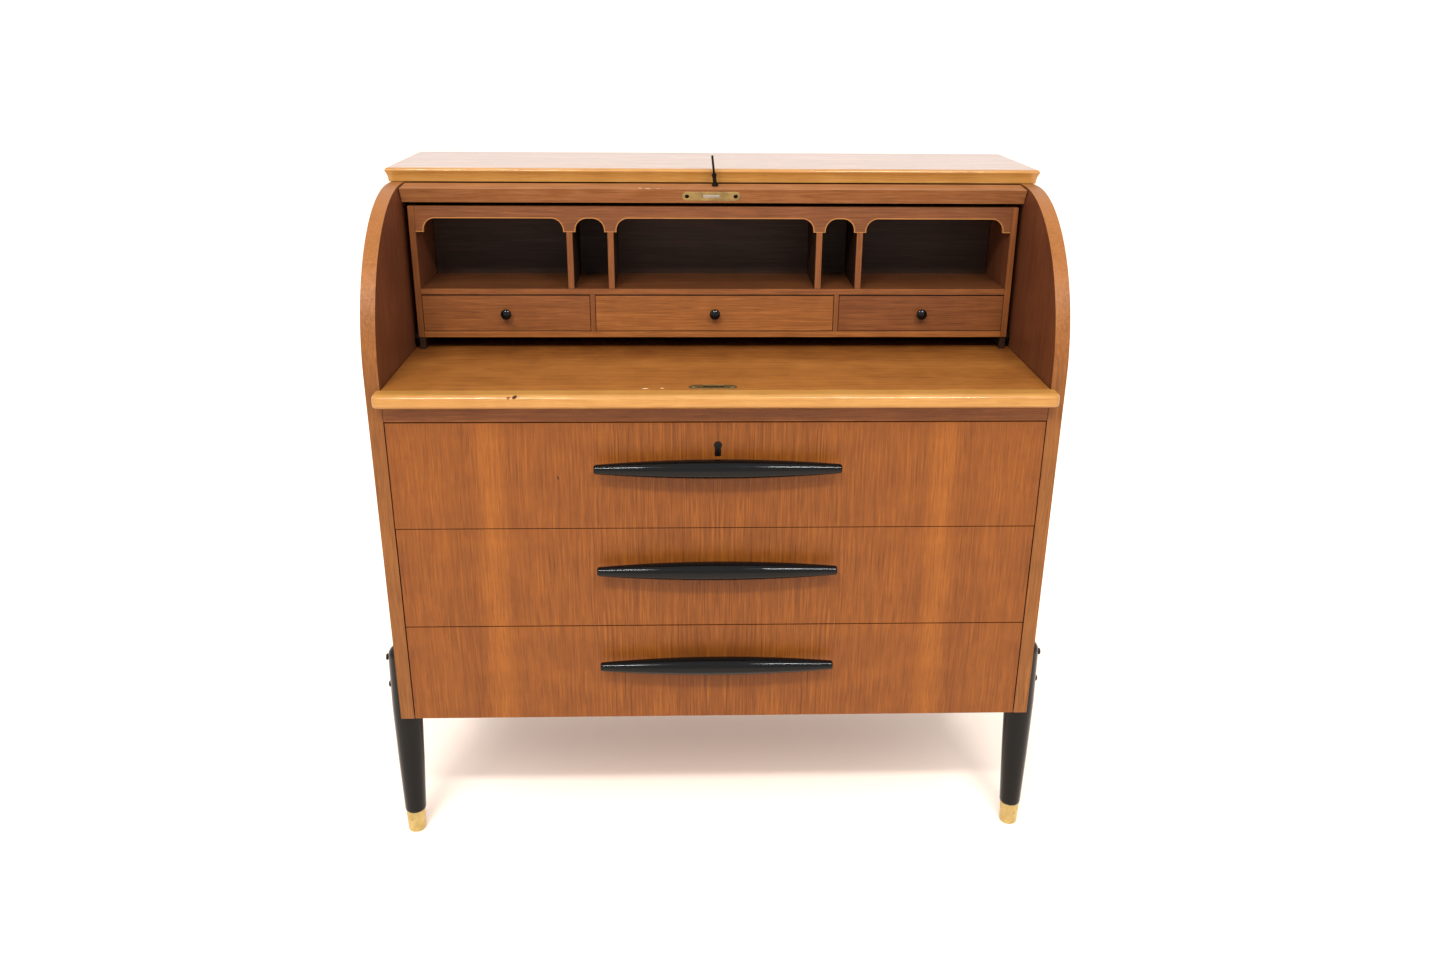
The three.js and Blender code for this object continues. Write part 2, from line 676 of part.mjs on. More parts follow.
function faceBox(halfX, halfY, z0, z1) {
  const geometry = new THREE.BoxGeometry(halfX * 2, halfY * 2, z1 - z0);
  return solid(geometry.translate(0, 0, (z0 + z1) / 2).applyMatrix4(faceFrame));
}

function facePlate(grow, z0, z1) {
  const across = FOREND.width / 2 + grow;
  const shape = slot(0, FOREND.half + grow, -across, across);
  return solid(extrude(shape, z1 - z0, 10).translate(0, 0, z0).applyMatrix4(faceFrame));
}

// A frame on the rail's outer face at the key: Z is the key's own axis.
const slope = Math.atan2(heel[1] - nose[1], heel[0] - nose[0]);
const keyBase = new THREE.Vector3(
  KEY.x,
  KEY.y,
  nose[1] + (KEY.y - nose[0]) * Math.tan(slope),
);
const keyFrame = new THREE.Matrix4()
  .makeTranslation(keyBase.x, keyBase.y, keyBase.z)
  .multiply(new THREE.Matrix4().makeRotationX(slope))
  .multiply(new THREE.Matrix4().makeRotationY(-radians(KEY.lean)));

function lockRail() {
  const bar = alongX(polygon([nose, innerNose, innerHeel, heel]), -LID.half, LID.half);
  const keyBore = solid(
    turned([[0, -16], [3.4, -16], [3.4, 4], [0, 4]], 20).applyMatrix4(keyFrame),
  );
  return cut(
    bar,
    facePlate(GAP, -FOREND.thickness - GAP + FOREND.proud, 2),
    faceBox(BOLT.half + 0.4, BOLT.thickness / 2 + 0.4, -BOLT.length - 3, 2),
    keyBore,
  );
}

function forend() {
  const { thickness, proud } = FOREND;
  const plate = facePlate(0, proud - thickness, proud);
  return cut(plate, faceBox(BOLT.half + 0.4, BOLT.thickness / 2 + 0.4, -4, 2));
}

// A swing arm: a hub on a stub axle, a bar, and a curved foot against the inside of the shell.
function swingArm(side) {
  const { angle, half, neck, foot, band, x, thickness } = ARM;
  const plate = [side * x, side * (x + thickness)];
  const footRadius = LID.inner - GAP;
  const hub = rod(half, ...plate, ARC_RADIUS, ARC_Z, 32);
  const along = onCircle(1, angle);
  const [c, s] = [along[0] - ARC_RADIUS, along[1] - ARC_Z];
  const corner = (d, w) => [ARC_RADIUS + c * d - s * w, ARC_Z + s * d + c * w];
  const end = footRadius - band / 2;
  const bar = alongX(
    polygon([corner(0, -neck), corner(end, -half), corner(end, half), corner(0, neck)]),
    ...plate,
  );
  const shoe = alongX(arcBand(footRadius - band, footRadius, angle - foot, angle + foot), ...plate);
  const collar = rod(AXLE.collar, side * (x + thickness - 1), side * reach, ARC_RADIUS, ARC_Z);
  const axleEnd = side * (INNER + AXLE.depth);
  const axle = rod(AXLE.radius, side * (x + 1), axleEnd, ARC_RADIUS, ARC_Z);
  return union(hub, bar, shoe, collar, axle);
}

// The key: a flanged barrel in the rail and an oval bow that stands edge-on to the front.
function key() {
  const bowHalf = 11;
  const bowFoot = 16;
  const seat = GAP + 5 * Math.sin(radians(KEY.lean)); // the leaning flange clears the rail
  const barrel = solid(
    turned(
      [
        [0, -13],
        [3, -13],
        [3, seat],
        [5, seat],
        [4.4, 3],
        [2.9, 4.5],
        [2.9, 13.5],
        [3.7, 14.5],
        [3.7, 17],
        [2.4, 18.5],
        [0, 18.5],
      ],
      20,
    ),
  );
  const centre = (bowFoot + KEY.height) / 2;
  const rise = (KEY.height - bowFoot) / 2;
  const outline = new THREE.Shape();
  outline.absellipse(0, centre, bowHalf, rise, 0, Math.PI * 2, false, 0);
  const eye = new THREE.Path();
  eye.absellipse(0, centre + 1, bowHalf - 4, rise - 5, 0, Math.PI * 2, true, 0);
  outline.holes.push(eye);
  const bow = alongX(outline, -1.6, 1.6, 16);
  return union(barrel, bow).transform(keyFrame.elements);
}

const lid = new THREE.Group();
const shell = arcBand(LID.inner, LID.outer, LID.start, LID.end);
piece(lid, "lid_shell", alongX(shell, -LID.half, LID.half, 48), TEAK);
piece(lid, "lock_rail", lockRail(), TEAK);
for (const [name, side] of SIDES) piece(lid, `lid_arm_${name}`, swingArm(side), STEEL);
piece(lid, "lock_plate", forend(), BRASS);
const boltBody = faceBox(BOLT.half, BOLT.thickness / 2, -BOLT.length, FOREND.proud);
piece(lid, "lock_bolt", boltBody, STEEL);
piece(lid, "key", key(), STEEL);
cabinet.add(lid);

export default root;
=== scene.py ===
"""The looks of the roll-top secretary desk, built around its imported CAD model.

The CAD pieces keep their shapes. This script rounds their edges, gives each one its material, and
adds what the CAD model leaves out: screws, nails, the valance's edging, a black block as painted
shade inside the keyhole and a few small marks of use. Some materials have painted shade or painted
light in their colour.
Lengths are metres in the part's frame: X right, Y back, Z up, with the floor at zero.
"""
import math

import bmesh
import bpy
from mathutils import Euler, Matrix, Vector


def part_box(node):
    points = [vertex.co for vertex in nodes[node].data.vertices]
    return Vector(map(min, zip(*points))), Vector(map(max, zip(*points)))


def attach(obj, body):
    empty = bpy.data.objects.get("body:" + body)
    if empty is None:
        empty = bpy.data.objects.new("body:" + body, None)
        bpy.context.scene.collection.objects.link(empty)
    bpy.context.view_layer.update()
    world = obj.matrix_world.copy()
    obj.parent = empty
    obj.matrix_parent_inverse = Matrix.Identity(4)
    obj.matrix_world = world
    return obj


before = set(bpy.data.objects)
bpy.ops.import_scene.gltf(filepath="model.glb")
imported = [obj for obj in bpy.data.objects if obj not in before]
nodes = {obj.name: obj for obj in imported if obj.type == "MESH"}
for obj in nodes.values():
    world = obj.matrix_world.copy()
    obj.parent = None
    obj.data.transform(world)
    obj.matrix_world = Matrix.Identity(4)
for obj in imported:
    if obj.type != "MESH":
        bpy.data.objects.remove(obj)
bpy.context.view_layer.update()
MM = 0.001

# ------------------------------------------------------------------ camera, light and floor

CAMERA_PLACE = (-0.0418, -1.7204, 1.2060)
CAMERA_TURN = (68.46, -0.41, -1.69)  # degrees about X, Y and Z
CAMERA_LENS = 28.75  # millimetres
CAMERA_SENSOR = 36.0  # millimetres across
SKY_COLOUR = (0.99, 0.99, 1.0, 1.0)
SKY_STRENGTH = 1.08
SUN_STRENGTH = 1.95
SUN_SOFTNESS = 32.0  # degrees across
SUN_FROM = (-0.15, -0.8, 1.0)
SOFTBOX_PLACES = {"softbox_left": (-0.74, -1.9, 2.5), "softbox_right": (0.7, -1.9, 2.5)}
SOFTBOX_TARGET = (0.0, 0.0, 0.6)
SOFTBOX_SIZE = (0.6, 0.07)
SOFTBOX_POWER = 30.0
FLOOR_HALF = 60.0
FLOOR_COLOUR = "#fcebdc"
FLOOR_ROUGHNESS = 0.8


def add_camera():
    data = bpy.data.cameras.new("camera")
    data.sensor_width = CAMERA_SENSOR
    data.lens = CAMERA_LENS
    camera = bpy.data.objects.new("camera", data)
    camera.location = CAMERA_PLACE
    camera.rotation_euler = Euler([math.radians(turn) for turn in CAMERA_TURN], "XYZ")
    bpy.context.scene.collection.objects.link(camera)
    bpy.context.scene.camera = camera


def add_softbox(name, place):
    data = bpy.data.lights.new(name, "AREA")
    data.shape = "RECTANGLE"
    data.size, data.size_y = SOFTBOX_SIZE
    data.energy = SOFTBOX_POWER
    light = bpy.data.objects.new(name, data)
    light.location = place
    aim = Vector(SOFTBOX_TARGET) - Vector(place)
    light.rotation_euler = aim.to_track_quat("-Z", "Y").to_euler()
    bpy.context.scene.collection.objects.link(light)


def add_studio():
    scene = bpy.context.scene
    scene.view_settings.view_transform = "Standard"
    world = bpy.data.worlds.new("studio")
    world.use_nodes = True
    sky = world.node_tree.nodes["Background"]
    sky.inputs["Color"].default_value = SKY_COLOUR
    sky.inputs["Strength"].default_value = SKY_STRENGTH
    scene.world = world
    for name, place in SOFTBOX_PLACES.items():
        add_softbox(name, place)
    data = bpy.data.lights.new("sun", "SUN")
    data.energy = SUN_STRENGTH
    data.angle = math.radians(SUN_SOFTNESS)
    sun = bpy.data.objects.new("sun", data)
    sun.rotation_euler = Vector(SUN_FROM).to_track_quat("Z", "Y").to_euler()
    sun.visible_glossy = False
    scene.collection.objects.link(sun)


def add_floor():
    signs = ((-1, -1), (1, -1), (1, 1), (-1, 1))
    mesh = bpy.data.meshes.new("floor")
    mesh.from_pydata([(x * FLOOR_HALF, y * FLOOR_HALF, 0.0) for x, y in signs], [], [(0, 1, 2, 3)])
    floor = bpy.data.objects.new("floor", mesh)
    bpy.context.scene.collection.objects.link(floor)
    shader = Shader("floor_paint")
    shader.set("Base Color", linear(FLOOR_COLOUR))
    shader.set("Roughness", FLOOR_ROUGHNESS)
    mesh.materials.append(shader.material)


# ------------------------------------------------------------------ shader tools


def linear(code):
    """A colour written as #rrggbb, as the linear numbers that shaders take."""
    shares = [int(code[i : i + 2], 16) / 255 for i in (1, 3, 5)]
    return (*[s / 12.92 if s <= 0.04045 else ((s + 0.055) / 1.055) ** 2.4 for s in shares], 1.0)


class Shader:
    """One Principled material, with short calls for the nodes that feed it."""

    def __init__(self, name):
        self.material = bpy.data.materials.new(name)
        self.material.use_nodes = True
        self.tree = self.material.node_tree
        self.surface = self.tree.nodes["Principled BSDF"]

    def set(self, socket, value):
        """Sets one of the surface's sockets, to a number or colour or from another node."""
        self._feed(self.surface.inputs[socket], value)

    def _feed(self, socket, value):
        if isinstance(value, bpy.types.NodeSocket):
            self.tree.links.new(value, socket)
        else:
            socket.default_value = value

    def node(self, kind, inputs, output=0, **settings):
        made = self.tree.nodes.new(kind)
        for key, value in settings.items():
            setattr(made, key, value)
        for key, value in inputs.items():
            self._feed(made.inputs[key], value)
        return made.outputs[output]

    def place(self):
        """Where a point of the object is, in metres. It doesn't change when the piece moves."""
        return self.node("ShaderNodeTexCoord", {}, output="Object")

    def math(self, operation, a, b=0.0, c=0.0):
        return self.node("ShaderNodeMath", {0: a, 1: b, 2: c}, operation=operation)

    def vector(self, operation, a, b):
        return self.node("ShaderNodeVectorMath", {0: a, 1: b}, operation=operation)

    def noise(self, where, scale, detail=3.0, roughness=0.55, output="Fac"):
        inputs = {"Vector": where, "Scale": scale, "Detail": detail, "Roughness": roughness}
        return self.node("ShaderNodeTexNoise", inputs, output=output)

    def spread(self, value, low, high, to_low=0.0, to_high=1.0):
        inputs = {"Value": value, "From Min": low, "From Max": high, "To Min": to_low, "To Max": to_high}
        return self.node("ShaderNodeMapRange", inputs)

    def swing(self, noise, reach, tone):
        """The tone, moved up and down by a noise that stays near one half."""
        return self.math("MULTIPLY_ADD", self.math("SUBTRACT", noise, 0.5), reach, tone)

    def mix(self, factor, a, b):
        made = self.tree.nodes.new("ShaderNodeMix")
        made.data_type = "RGBA"
        self._feed(made.inputs["Factor"], factor)
        colours = [socket for socket in made.inputs if socket.type == "RGBA"]
        for socket, value in zip(colours, (a, b)):
            self._feed(socket, value)
        return next(socket for socket in made.outputs if socket.type == "RGBA")

    def ramp(self, factor, stops):
        made = self.tree.nodes.new("ShaderNodeValToRGB")
        self._feed(made.inputs["Fac"], factor)
        elements = made.color_ramp.elements
        for i, (position, colour) in enumerate(stops):
            stop = elements[i] if i < 2 else elements.new(position)
            stop.position = position
            stop.color = colour
        return made.outputs["Color"]

    def bump(self, height, strength, distance):
        inputs = {"Height": height, "Strength": strength, "Distance": distance}
        self.set("Normal", self.node("ShaderNodeBump", inputs, output="Normal"))


# ------------------------------------------------------------------ wood

MID_TONE = 0.5  # halfway between a wood's dark and light tones
GRAIN_DRAWN = 0.022  # how much the noises are drawn out along the grain
ALONG = {"x": (GRAIN_DRAWN, 1.0, 1.0), "z": (1.0, 1.0, GRAIN_DRAWN)}

# Noises across the grain, each with its scale in waves per metre, its detail and its roughness.
FIGURE = (13.0, 2.0, 0.5)  # broad clouds of tone
STREAKS = (300.0, 4.0, 0.65)
FIBRES = (800.0, 2.0, 0.6)
PORES = (1000.0, 1.0, 0.5)
BLOTCHES = (22.0, 3.0, 0.6)  # wear and finish, the same in every direction
WANDER = (3.2, 2.0, 0.5)  # how the grain drifts off its straight line
WANDER_REACH = 0.012
PORE_RANGE = (0.60, 0.70)
BLOTCH_REACH = 0.3
FIBRE_REACH = 1.2  # of the streaks' own strength
TONE_ENDS = (0.2, 0.8)  # where the dark and the light tone stand
WOOD_SHEEN = 0.25
COAT_ROUGHNESS = 0.1
GRAIN_BUMP = 0.25
GRAIN_DEPTH = 0.12 * MM


def wood(
    name, along, tones, figure=0.45, streak=0.55, pores=0.35, gloss=0.42, shift=0.0, leaf=None, coat=0.0
):
    """Veneer or solid wood whose grain runs along one axis, in dark, middle and light tones.

    figure, streak and pores say how strong its broad clouds, narrow streaks and dark pores are. gloss
    is its roughness, coat its varnish, and shift picks another part of the grain. leaf may change the
    tone and the streaks of one particular sheet of veneer.
    """
    shader = Shader(name)
    place = shader.place()
    if leaf is drawer_leaf:
        place = mirrored(shader, place)
    wander = shader.noise(shader.vector("ADD", place, (shift,) * 3), *WANDER, output="Color")
    drift = shader.vector("MULTIPLY", shader.vector("SUBTRACT", wander, (0.5,) * 3), (WANDER_REACH,) * 3)
    bent = shader.vector("ADD", shader.vector("ADD", place, drift), (shift, 2 * shift, 3 * shift))
    grain = shader.vector("MULTIPLY", bent, ALONG[along])
    broad, streaks, fibres, pore = [shader.noise(grain, *kind) for kind in (FIGURE, STREAKS, FIBRES, PORES)]
    blotch = shader.noise(place, *BLOTCHES)

    tone = MID_TONE
    strength = streak
    if leaf:
        tone, strength = leaf(shader, place, streak)
    tone = shader.swing(broad, figure, tone)
    tone = shader.swing(blotch, BLOTCH_REACH, tone)
    tone = shader.swing(streaks, strength, tone)
    tone = shader.swing(fibres, shader.math("MULTIPLY", strength, FIBRE_REACH), tone)
    dark, mid, light = [linear(code) for code in tones]
    colour = shader.ramp(tone, [(TONE_ENDS[0], dark), (TONE_ENDS[1], light), (MID_TONE, mid)])
    pits = shader.spread(pore, *PORE_RANGE)
    colour = shader.mix(shader.math("MULTIPLY", pits, pores), colour, linear(darker(tones[0])))
    shader.set("Base Color", colour)
    shader.set("Roughness", shader.spread(streaks, 0.3, 0.7, gloss + 0.07, gloss - 0.05))
    shader.set("Specular IOR Level", WOOD_SHEEN)
    shader.set("Coat Weight", coat)
    shader.set("Coat Roughness", COAT_ROUGHNESS)
    height = shader.math("SUBTRACT", shader.math("MULTIPLY", fibres, 0.5), pits)
    shader.bump(height, GRAIN_BUMP, GRAIN_DEPTH)
    return shader.material


def darker(code):
    """The colour of the pores in wood of this colour."""
    return "#" + "".join(f"{int(int(code[i : i + 2], 16) * 0.6):02x}" for i in (1, 3, 5))


def mirrored(shader, place):
    """The place with X folded about the middle, as two book-matched sheets of veneer have it."""
    parts = shader.node("ShaderNodeSeparateXYZ", {0: place}, output="X")
    split = parts.node.outputs
    x = shader.math("ABSOLUTE", split["X"])
    return shader.node("ShaderNodeCombineXYZ", {"X": x, "Y": split["Y"], "Z": split["Z"]})


LEAF_BAND = 0.318  # how far each light band of the drawer veneer stands from the middle
LEAF_BAND_HALF = 0.034
LEAF_BAND_GLOW = 0.2
LEAF_STRIPED = (0.15, 0.27)  # the fine dark stripes fade out between these, from the middle
LEAF_STRIPES = (520.0, 3.0, 0.6)
LEAF_STRIPE_RANGE = (0.5, 0.68)
LEAF_STRIPE_TONE = -0.22
LEAF_STRIPES_LEFT = 0.12  # how much of the stripes is left towards the ends
LEAF_STREAKS_LEFT = 0.75  # and how much of the streaks


def drawer_leaf(shader, place, streak):
    """The drawer veneer: a light band in each outer third, and fine dark stripes in the middle."""
    across = shader.node("ShaderNodeSeparateXYZ", {0: place}, output="X")
    off = shader.math("ABSOLUTE", shader.math("SUBTRACT", across, LEAF_BAND))
    glow = shader.node(
        "ShaderNodeMapRange",
        {
            "Value": off,
            "From Min": 0.0,
            "From Max": LEAF_BAND_HALF,
            "To Min": LEAF_BAND_GLOW,
            "To Max": 0.0,
        },
        interpolation_type="SMOOTHSTEP",
    )
    striped = shader.spread(across, *LEAF_STRIPED, 1.0, LEAF_STRIPES_LEFT)
    stripes = shader.noise(shader.vector("MULTIPLY", place, ALONG["z"]), *LEAF_STRIPES)
    depth = shader.math("MULTIPLY", striped, LEAF_STRIPE_TONE)
    lines = shader.math("MULTIPLY", shader.spread(stripes, *LEAF_STRIPE_RANGE), depth)
    tone = shader.math("ADD", shader.math("ADD", glow, lines), MID_TONE)
    streaked = shader.spread(across, *LEAF_STRIPED, 1.0, LEAF_STREAKS_LEFT)
    return tone, shader.math("MULTIPLY", streaked, streak)


BOARD_SHADE_SPAN = (-0.09, 0.05)  # front to back, where the painted shadow deepens
BOARD_SHADE_TONE = 0.15
PANEL_HIGHLIGHT_SPAN = (0.80, 0.93)  # up the side panels' curve, where a painted highlight lightens them
PANEL_HIGHLIGHT_TONE = 0.74


def board_shade_leaf(shader, place, streak):
    """The writing board's veneer, darker towards the back with the painted shadow of the unit above it."""
    depth = shader.node("ShaderNodeSeparateXYZ", {0: place}, output="Y")
    return shader.spread(depth, *BOARD_SHADE_SPAN, MID_TONE, BOARD_SHADE_TONE), streak


def panel_highlight_leaf(shader, place, streak):
    """The side panels, lighter round their upper curve: a painted highlight."""
    height = shader.node("ShaderNodeSeparateXYZ", {0: place}, output="Z")
    return shader.spread(height, *PANEL_HIGHLIGHT_SPAN, MID_TONE, PANEL_HIGHLIGHT_TONE), streak


# ------------------------------------------------------------------ paint, metal and plastic

DULL_SHEEN = 0.2  # of paint and plastic
RUBS = (38.0, 4.0, 0.6)
RUB_RANGE = (0.35, 0.7)
RUB_DULLS = 0.08
DUST = (900.0, 2.0)
DUST_RANGE = (0.66, 0.74)
DUST_SHARE = 0.25
DUST_COLOUR = "#4a4845"
BRUSHWORK = (240.0, 3.0)
BRUSHWORK_BUMP = (0.04, 0.2 * MM)

PATINA_CLOUDS = (60.0, 4.0, 0.65)
PATINA_SPECKS = (420.0, 3.0, 0.6)
PATINA_SPECK_REACH = 0.35
PATINA_RANGE = (0.52, 0.86)
PATINA_DULLS = 0.25
BRUSHED_ALONG = (0.05, 1.0, 1.0)
BRUSHED = (1800.0, 2.0)
BRUSHED_BUMP = (0.06, 0.1 * MM)

MOULDED_GRAIN = 700.0
MOULDED_RANGE = (0.3, 0.7)
MOULDED_DULLS = 0.1


def lacquer(name, colour, gloss):
    """Black paint over turned wood, with faint grain below it and a few dull rubs."""
    shader = Shader(name)
    place = shader.place()
    rub = shader.noise(place, *RUBS)
    dust = shader.spread(shader.noise(place, *DUST), *DUST_RANGE)
    dusty = shader.math("MULTIPLY", dust, DUST_SHARE)
    shader.set("Base Color", shader.mix(dusty, linear(colour), linear(DUST_COLOUR)))
    shader.set("Roughness", shader.spread(rub, *RUB_RANGE, gloss, gloss + RUB_DULLS))
    shader.set("Specular IOR Level", DULL_SHEEN)
    shader.bump(shader.noise(place, *BRUSHWORK), *BRUSHWORK_BUMP)
    return shader.material


def metal(name, colour, stain, gloss, patina=0.5, polish=1.0):
    """Brushed metal with a darker, duller patina in cloudy patches."""
    shader = Shader(name)
    place = shader.place()
    cloud = shader.noise(place, *PATINA_CLOUDS)
    speck = shader.noise(place, *PATINA_SPECKS)
    age = shader.spread(shader.math("MULTIPLY_ADD", speck, PATINA_SPECK_REACH, cloud), *PATINA_RANGE)
    shader.set("Base Color", shader.mix(shader.math("MULTIPLY", age, patina), linear(colour), linear(stain)))
    shader.set("Metallic", polish)
    shader.set("Roughness", shader.spread(age, 0.0, 1.0, gloss, gloss + PATINA_DULLS))
    brushed = shader.vector("MULTIPLY", place, BRUSHED_ALONG)
    shader.bump(shader.noise(brushed, *BRUSHED), *BRUSHED_BUMP)
    return shader.material


def moulded(name, colour, gloss):
    """Plain plastic, or a stain or scrape, with a faintly uneven shine."""
    shader = Shader(name)
    shader.set("Base Color", linear(colour))
    grain = shader.noise(shader.place(), MOULDED_GRAIN)
    shader.set("Roughness", shader.spread(grain, *MOULDED_RANGE, gloss, gloss + MOULDED_DULLS))
    shader.set("Specular IOR Level", DULL_SHEEN)
    return shader.material


# ------------------------------------------------------------------ materials

TEAK = ("#582c09", "#703c10", "#8a4f18")
TEAK_EDGE = ("#5c3313", "#73451c", "#8a5628")
# Near-black teak for faces deep in shade inside the unit: painted shade.
TEAK_PAINTED_SHADE = ("#190b02", "#271306", "#371b0a")
# Inner faces of the side panels and unit sides: a darker teak as painted shade.
TEAK_INSIDE_SHADE = ("#4b2815", "#60341e", "#724126")
TEAK_UNIT = ("#552e10", "#6a3b19", "#834e25")
TEAK_VALANCE = ("#4e280f", "#64381b", "#7c4b27")
# The right small drawer: the unit teak darkened as painted shade from the right side panel.
TEAK_RIGHT_SHADE = ("#4a260d", "#603316", "#774621")
TEAK_WARM = ("#603411", "#78451c", "#92592a")
# The pigeonholes' floor: a darker teak as painted shade.
TEAK_SHELF_SHADE = ("#3c200e", "#502c15", "#643a1f")
TEAK_BOARD = ("#562d10", "#824f20", "#9b652f")
# The lock rail and lid: a lighter teak as painted light, making up for the top board's shadow.
TEAK_RAIL_PAINTED_LIGHT = ("#6c3f1c", "#865430", "#a26e45")
TEAK_PLY = ("#5a3820", "#70492c", "#875d3c")
TEAK_TOP = ("#8a5c34", "#a2724a", "#b98a64")
HONEY = ("#8c5b23", "#9f6f33", "#b38748")
EDGING = ("#7f5023", "#925f2e", "#a5713b")
PINE = ("#a88455", "#c3a06c", "#d6b683")

MATERIALS = {
    "drawer": lambda: wood("teak_drawer", "z", TEAK, figure=0.25, streak=0.6, leaf=drawer_leaf),
    "upright": lambda: wood("teak_upright", "z", TEAK_EDGE, shift=1.7, leaf=panel_highlight_leaf),
    "inside": lambda: wood("teak_inside_face_painted_shade", "z", TEAK_INSIDE_SHADE, shift=3.1),
    "level": lambda: wood("teak_level", "x", TEAK_UNIT, shift=5.3),
    "valance": lambda: wood("teak_valance", "x", TEAK_VALANCE, shift=14.3),
    "level_right": lambda: wood("teak_level_right_painted_shade", "x", TEAK_RIGHT_SHADE, shift=12.7),
    "level_warm": lambda: wood("teak_level_warm", "x", TEAK_WARM, shift=5.9),
    "shelf_top": lambda: wood("teak_shelf_top_painted_shade", "x", TEAK_SHELF_SHADE, shift=15.1),
    "unit_upright": lambda: wood("teak_unit_upright", "z", TEAK_UNIT, shift=8.9),
    "front_rail": lambda: wood("teak_front_rail", "x", TEAK_UNIT, shift=6.6),
    "lock_rail": lambda: wood("teak_lock_rail_painted_light", "x", TEAK_RAIL_PAINTED_LIGHT, shift=10.3),
    "board": lambda: wood(
        "teak_board", "x", TEAK_BOARD, figure=0.3, streak=0.4, shift=7.7, gloss=0.36, leaf=board_shade_leaf
    ),
    # Near-black teak: painted shade.
    "dark": lambda: wood("teak_painted_shade", "x", TEAK_PAINTED_SHADE, shift=9.4, gloss=0.55),
    "ply": lambda: wood("teak_ply", "x", TEAK_PLY, shift=11.2, gloss=0.55),
    "top": lambda: wood("teak_top", "x", TEAK_TOP, figure=0.4, streak=1.2, shift=4.1, gloss=0.34, coat=0.75),
    "honey": lambda: wood(
        "teak_honey", "x", HONEY, figure=0.2, streak=0.4, shift=2.2, gloss=0.34, pores=0.2, coat=0.5
    ),
    "edging": lambda: wood("valance_edging", "x", EDGING, figure=0.2, streak=0.3, shift=2.9),
    "pine": lambda: wood("drawer_wood", "x", PINE, shift=4.4, gloss=0.6, pores=0.1),
    "black": lambda: lacquer("black_lacquer", "#060606", 0.06),
    "plastic": lambda: moulded("black_insert", "#040404", 0.3),
    "brass": lambda: metal("aged_brass", "#c4b077", "#87703a", 0.28, 0.4),
    "plate_brass": lambda: metal("plate_brass", "#b8a068", "#5f4c26", 0.34, 0.6, polish=0.45),
    "old_brass": lambda: metal("old_brass", "#b09a68", "#5d4a2c", 0.34, 0.75),
    "steel": lambda: metal("dark_steel", "#5b5752", "#2b2522", 0.36, 0.7),
    "bright_steel": lambda: metal("bright_steel", "#c4c1b8", "#8a857a", 0.3, 0.5, polish=0.5),
    "stain": lambda: moulded("old_stain", "#33170a", 0.5),
    "scrape": lambda: moulded("pale_scrape", "#ead6b4", 0.5),
    "iron": lambda: metal("blackened_iron", "#2b2420", "#15110f", 0.5, 0.7),
}
made = {}


def material(key):
    if key not in made:
        made[key] = MATERIALS[key]()
    return made[key]


LEVELS = ("bottom", "middle", "top")
THIRDS = ("left", "middle", "right")
BOTH = ("left", "right")

FINISH = {
    "honey": ["top_board", "writing_board_lip"],
    "board": ["writing_board"],
    "front_rail": ["front_rail"],
    # The lock rail's lighter teak is painted light.
    "lock_rail": ["lock_rail", "lid_shell"],
    "valance": ["unit_valance"],
    "level": ["unit_shelf", "small_drawer_left"],
    "level_warm": ["unit_floor", "small_drawer_middle"],
    # The right small drawer has a darker copy of the unit teak: painted shade.
    "level_right": ["small_drawer_right"],
    "unit_upright": [
        *[f"unit_side_{s}" for s in BOTH],
        *[f"drawer_divider_{s}" for s in BOTH],
        *[f"pigeonhole_divider_{i}" for i in (1, 2, 3, 4)],
    ],
    "upright": [f"side_panel_{s}" for s in BOTH],
    "drawer": [f"drawer_front_{level}" for level in LEVELS],
    "ply": ["back_panel", "bottom_panel"],
    # The unit's hood and bearers, in shade: near-black teak as painted shade.
    "dark": ["unit_hood", *[f"unit_bearer_{s}" for s in BOTH]],
    "pine": [
        *[f"drawer_tray_{level}" for level in LEVELS],
        *[f"runner_{level}_{s}" for level in ("middle", "top") for s in BOTH],
        *[f"board_guide_{s}" for s in BOTH],
    ],
    "black": [
        *[f"leg_{end}_{s}" for end in ("front", "rear") for s in BOTH],
        *[f"drawer_handle_{level}" for level in LEVELS],
        *[f"small_knob_{t}" for t in THIRDS],
    ],
    "plastic": ["keyhole_insert"],
    "brass": [f"ferrule_{end}_{s}" for end in ("front", "rear") for s in BOTH],
    "plate_brass": ["lock_plate"],
    "old_brass": ["strike_plate"],
    "bright_steel": ["lock_bolt"],
    "iron": ["key", *[f"lid_arm_{s}" for s in BOTH]],
}
ROUNDING = {"fine": 0.3 * MM, "broad": 0.8 * MM}
JOINERY = ("level", "level_warm", "level_right", "valance", "unit_upright")
SOLID = ("black", "brass", "plate_brass", "old_brass", "bright_steel", "iron", "plastic")
WELD_WITHIN = 0.00001
FLAT_ANGLE = 0.3  # degrees between facets that count as one face
ARRIS_ANGLE = 34.0  # degrees, above which an edge is rounded
ARRIS_SEGMENTS = 3


